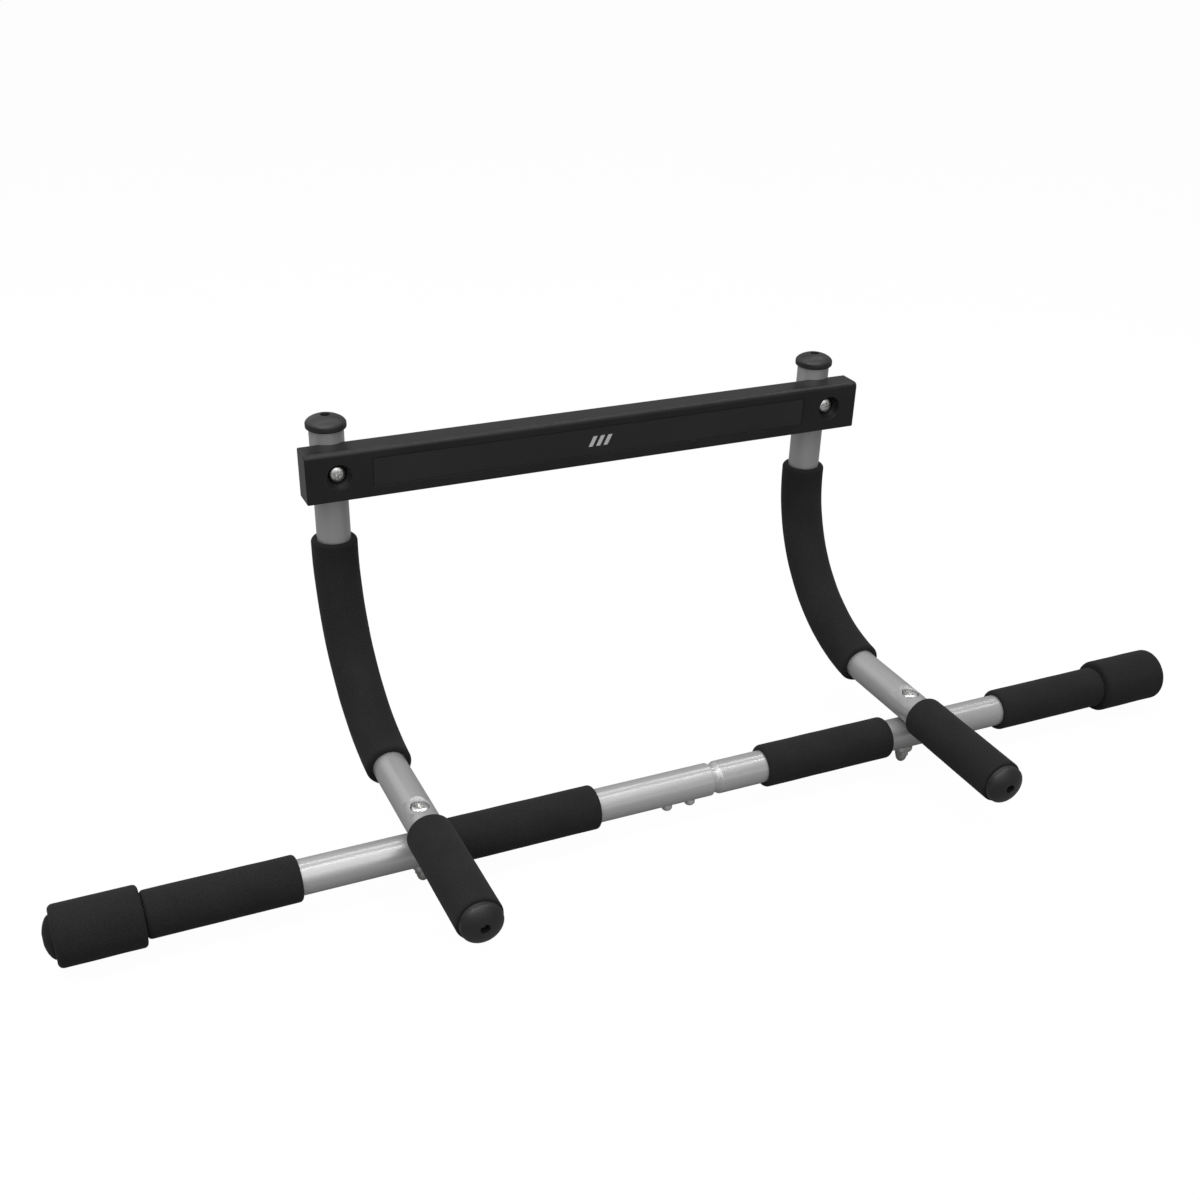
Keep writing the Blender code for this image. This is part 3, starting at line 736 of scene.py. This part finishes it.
def end_cap(name, direction, under, material):
    """A push-in plug: a domed button with a hole in its middle, on a hollow shank.

    Under is the fillet of the button's lower edge.
    """
    low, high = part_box(name)
    reach = high - low
    axis, sign = facing(direction)
    radius = reach[axis - 1] / 2
    shank = 0.0140
    height = reach[axis] - shank
    place = (low + high) / 2
    place[axis] = (high if sign > 0 else low)[axis] - sign * height
    rim = height * 0.36
    hole = 0.0036
    hole_depth = height * 0.60
    inner = TUBE_INSIDE - GAP
    steps = 22

    def dome_height(radius_here):
        # between an ellipse and a straight slope
        share = radius_here / radius
        return rim + (height - rim) * (1 - share**DOME_FULLNESS) ** (1 / DOME_FULLNESS)

    top = dome_height(hole)
    bottom = top - hole_depth
    outline = [Vector((0, bottom)), Vector((hole * 0.55, bottom)), Vector((hole * 0.80, bottom + 0.0006))]
    outline += [Vector((hole * 0.90, top - 0.0007)), Vector((hole * 0.96, top - 0.0001))]
    outline.append(Vector((hole * 1.06, dome_height(hole * 1.06))))
    for step in range(3, steps + 1):
        here = hole + (radius - hole) * math.sin(math.pi / 2 * step / steps)
        outline.append(Vector((here, dome_height(here))))
    outline += arc((radius - under, under), (under, under), 0, -90, 6)
    outline += [Vector((inner, 0)), Vector((inner, -0.0040)), Vector((inner - 0.0006, -shank))]
    bore = inner - 0.0030
    outline += [Vector((bore, -shank)), Vector((bore, 0.0015)), Vector((0, 0.0015))]
    cap = turned(f"{name}_moulding", outline, place, direction)
    present(cap, material, "cap_plastic", name)


def end_caps():
    for side, sign in SIDES.items():
        # the long bar's caps take the darker copy of the cap plastic, whose colour is painted shade
        end_cap(f"long_bar_cap_{side}", "+X" if sign > 0 else "-X", 0.0005, BAR_CAP_PAINTED_SHADE)
        end_cap(f"post_cap_{side}", "+Z", 0.0013, CAP)
        end_cap(f"handle_cap_{side}", "-Y", 0.0005, CAP)


# ---- Fasteners ----


ROWS_OF_THREAD = 7  # in each turn


def thread_swell(radius, pitch, start, end):
    """The swell that cuts a helical thread into a shank between two heights."""
    depth = pitch * 0.55

    def swell(here, height, angle):
        if abs(here - radius) > TINY or not start <= height <= end:
            return 0.0
        fade = min(1.0, (height - start) / pitch, (end - height) / pitch)
        turn = (height / pitch - angle / (2 * math.pi)) % 1.0
        return -depth * fade * (1 - abs(2 * turn - 1))

    return swell


def cross_cutter(name, span, place, direction):
    """The tapered cross of a screwdriver, with its mouth at its place."""
    bm = bmesh.new()
    long, short = span / 2, span / 9
    lift = 0.0006
    outline = []
    for turn in range(4):
        spin = Matrix.Rotation(turn * math.pi / 2, 3, "Z")
        for u, v in ((long, -short * 0.8), (long, short * 0.8), (short * 1.3, short * 1.3)):
            outline.append(bm.verts.new(spin @ Vector((u, v, lift))))
    face = bm.faces.new(outline)
    deep = bmesh.ops.extrude_face_region(bm, geom=[face])
    floor = [item for item in deep["geom"] if isinstance(item, bmesh.types.BMVert)]
    bmesh.ops.translate(bm, vec=(0, 0, -lift - span * 0.30), verts=floor)
    bmesh.ops.scale(bm, vec=(0.45, 0.45, 1.0), verts=floor)
    cutter = as_object(name, bm)
    cutter.location = place
    cutter.rotation_euler = TURN_TO[direction]
    return cutter


def screw(name, direction, head, shank_radius, pitch, thread_length):
    """A cross-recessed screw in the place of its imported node.

    The head is its height and the height of the straight side below its dome.
    """
    low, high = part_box(name)
    axis, sign = facing(direction)
    head_height, side_height = head
    reach = high - low
    head_radius = reach[axis - 1] / 2
    length = reach[axis] - head_height
    place = (low + high) / 2
    place[axis] = (high if sign > 0 else low)[axis] - sign * head_height
    outline = [Vector((0, head_height))]
    outline += arc((0, side_height), (head_radius, head_height - side_height), 84, 0, 12)
    edge = 0.0003
    outline += [Vector((head_radius, edge)), Vector((head_radius - edge, 0)), Vector((shank_radius, 0))]
    thread_top = thread_length - length
    if thread_top < -0.0005:
        outline.append(Vector((shank_radius, -edge)))
    rows = math.ceil(thread_length / pitch * ROWS_OF_THREAD)
    point = 0.0006
    bottom = point - length
    for row in range(rows + 1):
        outline.append(Vector((shank_radius, thread_top + (bottom - thread_top) * row / rows)))
    outline += [Vector((shank_radius - point, -length)), Vector((0, -length))]
    swell = thread_swell(shank_radius, pitch, bottom, thread_top)
    made = turned(f"{name}_plated", outline, place, direction, SIDES_OF_FASTENER, swell=swell)
    top = place.copy()
    top[axis] += sign * (head_height - 0.0001)
    combine(made, [cross_cutter(f"{name}_cross", head_radius * 1.12, top, direction)])
    present(made, ZINC, "zinc", name)


def nut(name, direction, hex_height, hole, bore, crown):
    """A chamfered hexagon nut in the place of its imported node, with a crown of (radius, height) points."""
    low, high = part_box(name)
    axis, sign = facing(direction)
    place = (low + high) / 2
    place[axis] = (low if sign > 0 else high)[axis]
    corner = max((high - low)[axis - 1], (high - low)[axis - 2]) / 2
    flat = 0.96 * corner * math.sqrt(3) / 2
    drop = (corner - flat) * math.tan(math.radians(30))
    prism = [(0, hex_height), (corner, hex_height), (corner, 0), (0, 0)]
    chamfer = [(0, hex_height), (flat, hex_height), (corner, hex_height - drop)]
    chamfer += [(corner, drop), (flat, 0), (0, 0)]
    made = turned(f"{name}_plated", prism, place, direction, 6)
    combine(made, [turned("chamfer", chamfer, place, direction, SIDES_OF_FASTENER)], "INTERSECT")
    combine(made, [turned("crown", crown, place, direction, SIDES_OF_FASTENER)], "UNION")
    drill = [(0, bore), (hole, bore), (hole, 0.0004), (hole + 0.0006, -0.0002), (0, -0.0002)]
    combine(made, [turned("drill", drill, place, direction, SIDES_OF_FASTENER)])
    present(made, ZINC, "zinc", name)


def acorn_crown(hex_height, height, radius):
    """A dome that comes to a soft point."""
    points = [Vector((0, height))]
    steps = 14
    for step in range(1, steps + 1):
        share = step / steps
        out = radius * math.sin(share * math.pi / 2) ** 0.9
        points.append(Vector((out, height - (height - hex_height) * share**1.75)))
    return points + [Vector((radius, hex_height * 0.6)), Vector((0, hex_height * 0.6))]


def collar_crown(hex_height, height, radius):
    """The rolled collar that holds a lock nut's ring."""
    roll = 0.0008
    points = [Vector((0, height)), Vector((radius - 0.0010, height))]
    points += arc((radius - roll, height - roll), (roll, roll), 90, 0, 5)
    return points + [Vector((radius, hex_height * 0.6)), Vector((0, hex_height * 0.6))]


def washer(name, direction, hole):
    low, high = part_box(name)
    reach = high - low
    axis, _ = facing(direction)
    radius = reach[axis - 1] / 2
    half = reach[axis] / 2
    edge = 0.0002
    corners = [(radius, half, edge), (radius, -half, edge), (hole, -half, edge / 2), (hole, half, edge / 2)]
    made = turned(f"{name}_plated", rounded(corners, 3), (low + high) / 2, direction, closed=True)
    present(made, ZINC, "zinc", name)


def saddle_washer(name):
    """A block washer that is hollowed above to sit on the long bar."""
    low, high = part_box(name)
    radius = (high.x - low.x) / 2
    height = high.z - low.z
    place = ((low.x + high.x) / 2, AXIS.y, low.z)
    above = height + 0.001
    corners = [(radius, above, 0), (radius, 0, 0.0007), (M6_HOLE, 0, 0.0002), (M6_HOLE, above, 0)]
    made = turned(f"{name}_plated", rounded(corners, 4), place, "+Z", closed=True)
    reach = Vector((DRILL_REACH, 0, 0))
    centre = Vector((place[0], AXIS.y, AXIS.z))
    combine(made, [rod("saddle", TUBE_RADIUS + GAP, centre - reach, centre + reach, SIDES_OF_TUBE)])
    present(made, ZINC, "zinc", name)


def fasteners():
    for side in SIDES:
        screw(f"side_bolt_{side}", "+Z", SIDE_BOLT_HEAD, M6_RADIUS, M6_PITCH, 0.0140)
        screw(f"crossbar_bolt_{side}", "-Y", CROSSBAR_BOLT_HEAD, M6_RADIUS, M6_PITCH, 0.0160)
        saddle_washer(f"saddle_washer_{side}")
        washer(f"crossbar_washer_{side}", "+Y", M6_HOLE)
        crown = acorn_crown(ACORN_HEX, 0.0120, 0.0046)
        nut(f"acorn_nut_{side}", "-Z", ACORN_HEX, M6_HOLE, 0.0092, crown)
        crown = collar_crown(LOCK_HEX, 0.0064, 0.0044)
        nut(f"crossbar_lock_nut_{side}", "+Y", LOCK_HEX, M6_HOLE, 0.0074, crown)
    for place in ("inner", "outer"):
        screw(f"joint_screw_{place}", "-Z", JOINT_SCREW_HEAD, M5_RADIUS, M5_PITCH, 0.0080)
        hidden_nut = nodes[f"joint_weld_nut_{place}"].data
        hidden_nut.materials.clear()
        hidden_nut.materials.append(ZINC)


# ---- Crossbar ----

FRONT_EDGE = 0.0036
POCKET_COUNT = 7
RIB = 0.0030


def bevel_edges(obj, wanted, width, steps):
    """Rounds the edges whose two ends both pass the test."""
    bm = bmesh.new()
    bm.from_mesh(obj.data)
    edges = [edge for edge in bm.edges if all(wanted(vert.co) for vert in edge.verts)]
    bmesh.ops.bevel(
        bm, geom=edges, offset=width, segments=steps, profile=0.5, affect="EDGES", clamp_overlap=True
    )
    bm.to_mesh(obj.data)
    bm.free()


def crossbar_cover():
    low, high = COVER_LOW, COVER_HIGH
    cover = rounded_box("crossbar_cover_moulding", low, high)

    def front_top(place):
        return place.y < low.y + TINY and place.z > high.z - TINY

    bevel_edges(cover, front_top, FRONT_EDGE, 10)
    soft = cover.modifiers.new("soft edges", "BEVEL")
    soft.width = 0.0010
    soft.segments = 4
    soft.limit_method = "ANGLE"
    soft.angle_limit = math.radians(50)

    steel_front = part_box("crossbar_steel_bar")[0].y
    plate_low, plate_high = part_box("crossbar_label_plate")
    inner_end = high.x - CROSSBAR_WALL
    inner_low, inner_high = low.z + CROSSBAR_WALL, high.z - CROSSBAR_WALL
    corners = (-inner_end, steel_front - GAP, inner_low), (inner_end, high.y + BEYOND, inner_high)
    cutters = [rounded_box("cavity", *corners, 0.0005)]
    pocket_limit = POST_X - 0.012
    pitch = 2 * pocket_limit / POCKET_COUNT
    step = 0.001  # the pockets are this much lower than the cavity, and reach into it as far
    pocket_front = plate_high.y + GAP + CROSSBAR_WALL
    for index in range(POCKET_COUNT):
        start = -pocket_limit + index * pitch + RIB / 2
        end = start + pitch - RIB
        corners = (start, pocket_front, inner_low + step), (end, steel_front + step, inner_high - step)
        cutters.append(rounded_box(f"pocket_{index}", *corners, 0.0006))
    room = Vector((GAP, GAP, GAP))
    recess_low = Vector((plate_low.x, low.y - BEYOND, plate_low.z)) - room
    cutters.append(rounded_box("panel_recess", recess_low, plate_high + room))
    floor = -COUNTERBORE_DEPTH
    mouth = COUNTERBORE_MOUTH_RADIUS
    fillet = 0.0008
    funnel = [(0, BEYOND), (mouth, BEYOND), (mouth, 0), COUNTERBORE_LIP]
    funnel += arc((COUNTERBORE_FLOOR_RADIUS - fillet, floor + fillet), (fillet, fillet), 0, -90, 4)
    funnel.append((0, floor))
    for side, sign in SIDES.items():
        x = sign * POST_X
        z = middle(f"crossbar_bolt_{side}").z
        below, above = (x, POST_Y, low.z - BEYOND), (x, POST_Y, high.z + BEYOND)
        front, back = (x, low.y - BEYOND, z), (x, high.y + BEYOND, z)
        cutters += [
            rod(f"notch_{side}", TUBE_RADIUS + 0.0005, below, above, SIDES_OF_TUBE),
            rod(f"hole_{side}", M6_HOLE, front, back),
            turned(f"counterbore_{side}", funnel, (x, low.y, z), "-Y"),
        ]
    combine(cover, cutters)

    def recess_rim(place):
        in_front = abs(place.y - low.y) < TINY
        across = abs(place.z - COVER_MIDDLE.z) < (plate_high.z - plate_low.z) / 2 + GAP + TINY
        panel = across and abs(place.x) < plate_high.x + GAP + TINY
        bolt = math.hypot(abs(place.x) - POST_X, place.z - COVER_MIDDLE.z) < mouth + TINY
        return in_front and (panel or bolt)

    bevel_edges(cover, recess_rim, 0.00035, 3)
    present(cover, COVER, "crossbar_plastic", "crossbar_cover")


def crossbar_inside():
    low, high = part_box("crossbar_label_plate")
    plate = rounded_box("crossbar_panel_film", low, high, 0.00012, 2)
    present(plate, PANEL, "label", "crossbar_label_plate")
    low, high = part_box("crossbar_steel_bar")
    steel = rounded_box("crossbar_flat_steel", low, high, 0.0004, 2)
    drills = []
    for side, sign in SIDES.items():
        z = middle(f"crossbar_bolt_{side}").z
        x = sign * POST_X
        drill = rod(f"steel_drill_{side}", M6_HOLE, (x, low.y - BEYOND, z), (x, high.y + BEYOND, z))
        drills.append(drill)
    combine(steel, drills)
    present(steel, POST_PAINT, "post_steel", "crossbar_steel_bar")


# ---- Studio ----


def camera():
    """The camera in front and to the left of the bar, above it, with its picture shifted upwards."""
    azimuth, elevation, roll = (math.radians(angle) for angle in (25.17, 31.08, 1.62))
    ahead = Vector((math.sin(azimuth), math.cos(azimuth), 0))
    forward = ahead * math.cos(elevation) - Vector((0, 0, math.sin(elevation)))
    level = Vector((math.cos(azimuth), -math.sin(azimuth), 0))
    above = level.cross(forward)
    right = level * math.cos(roll) + above * math.sin(roll)
    up = right.cross(forward)
    data = bpy.data.cameras.new("camera")
    data.sensor_width = 36
    data.lens = 44.05
    data.shift_x = 0.0030
    data.shift_y = 0.0850
    made = bpy.data.objects.new("camera", data)
    turn = Matrix((right, up, -forward)).transposed()
    place = AXIS + Vector((-0.4490, -0.8040, 0.6257))
    made.matrix_world = Matrix.Translation(place) @ turn.to_4x4()
    bpy.context.scene.collection.objects.link(made)
    bpy.context.scene.camera = made


def softbox(name, width, depth, distance, azimuth, elevation, radiance):
    """A rectangular lamp that faces the bar.

    Azimuth 0 is in front of the bar, and an elevation over 90 is behind it.
    """
    data = bpy.data.lights.new(name, "AREA")
    data.shape = "RECTANGLE"
    data.size = width
    data.size_y = depth
    data.energy = radiance * width * depth * math.pi
    a, e = math.radians(azimuth), math.radians(elevation)
    out = Vector((math.sin(a) * math.cos(e), -math.cos(a) * math.cos(e), math.sin(e)))
    side = Vector((math.cos(a), math.sin(a), 0))
    lamp = bpy.data.objects.new(name, data)
    turn = Matrix((side, out.cross(side), out)).transposed()
    lamp.matrix_world = Matrix.Translation(AXIS + out * distance) @ turn.to_4x4()
    lamp.visible_camera = False
    bpy.context.scene.collection.objects.link(lamp)


def studio():
    softbox("front_softbox", 3.0, 2.2, 2.2, -22, 54, 1.75)
    softbox("front_fill", 3.0, 0.8, 2.4, 0, 14, 0.6)
    softbox("left_strip", 1.6, 0.5, 2.0, -80, 58, 1.6)
    softbox("top_strip", 3.2, 0.14, 1.7, 0, 83, 9.0)
    softbox("back_strip", 3.2, 0.20, 1.8, 0, 115, 6.0)
    softbox("back_left_lamp", 2.0, 1.4, 2.0, -150, 36, 0.55)
    world = bpy.data.worlds.new("studio")
    bpy.context.scene.world = world
    world.use_nodes = True
    tree = world.node_tree
    background = tree.nodes["Background"]
    background.inputs["Color"].default_value = (1.0, 1.0, 1.0, 1.0)
    # white to look at, and a dimmer grey for the light it gives
    seen = add_node(tree, "ShaderNodeLightPath").outputs["Is Camera Ray"]
    strength = calculate(tree, "ADD", calculate(tree, "MULTIPLY", seen, 0.65), 0.35)
    tree.links.new(strength, background.inputs["Strength"])
    bpy.context.scene.view_settings.view_transform = "Standard"


def floor():
    """A wide pale floor, just under the lowest nut."""
    bm = bmesh.new()
    bmesh.ops.create_grid(bm, x_segments=8, y_segments=8, size=9.0)
    plane = as_object("floor", bm)
    plane.location = (0, 0, cad_box[0].z - GAP)
    made = bpy.data.materials.new("pale_floor")
    made.use_nodes = True
    tree = made.node_tree
    shader = tree.nodes["Principled BSDF"]
    where = add_node(tree, "ShaderNodeTexCoord").outputs["Object"]
    tone = spread(tree, noise_of(tree, where, 2.0), 0.0, 1.0)
    colour = mixed(tree, tone, (0.24, 0.24, 0.24), (0.26, 0.26, 0.26))
    tree.links.new(colour, shader.inputs["Base Color"])
    shader.inputs["Roughness"].default_value = 0.9
    shader.inputs["Specular IOR Level"].default_value = 0.1
    # the floor looks white, and bounces as little light up as a grey one
    glow = add_node(tree, "ShaderNodeEmission", {"Strength": 1.08})
    seen = add_node(tree, "ShaderNodeLightPath").outputs["Is Camera Ray"]
    share = calculate(tree, "MULTIPLY", seen, 0.90)
    both = add_node(tree, "ShaderNodeMixShader", {0: share, 1: shader.outputs[0], 2: glow.outputs[0]})
    # and it can be looked through from underneath
    below = add_node(tree, "ShaderNodeNewGeometry").outputs["Backfacing"]
    clear = add_node(tree, "ShaderNodeBsdfTransparent")
    surface = add_node(tree, "ShaderNodeMixShader", {0: below, 1: both.outputs[0], 2: clear.outputs[0]})
    tree.links.new(surface.outputs[0], tree.nodes["Material Output"].inputs["Surface"])
    plane.data.materials.append(made)


camera()
studio()
floor()
all_straight_foam()
bend_pads()
side_tubes()
long_bar()
end_caps()
fasteners()
crossbar_cover()
crossbar_inside()
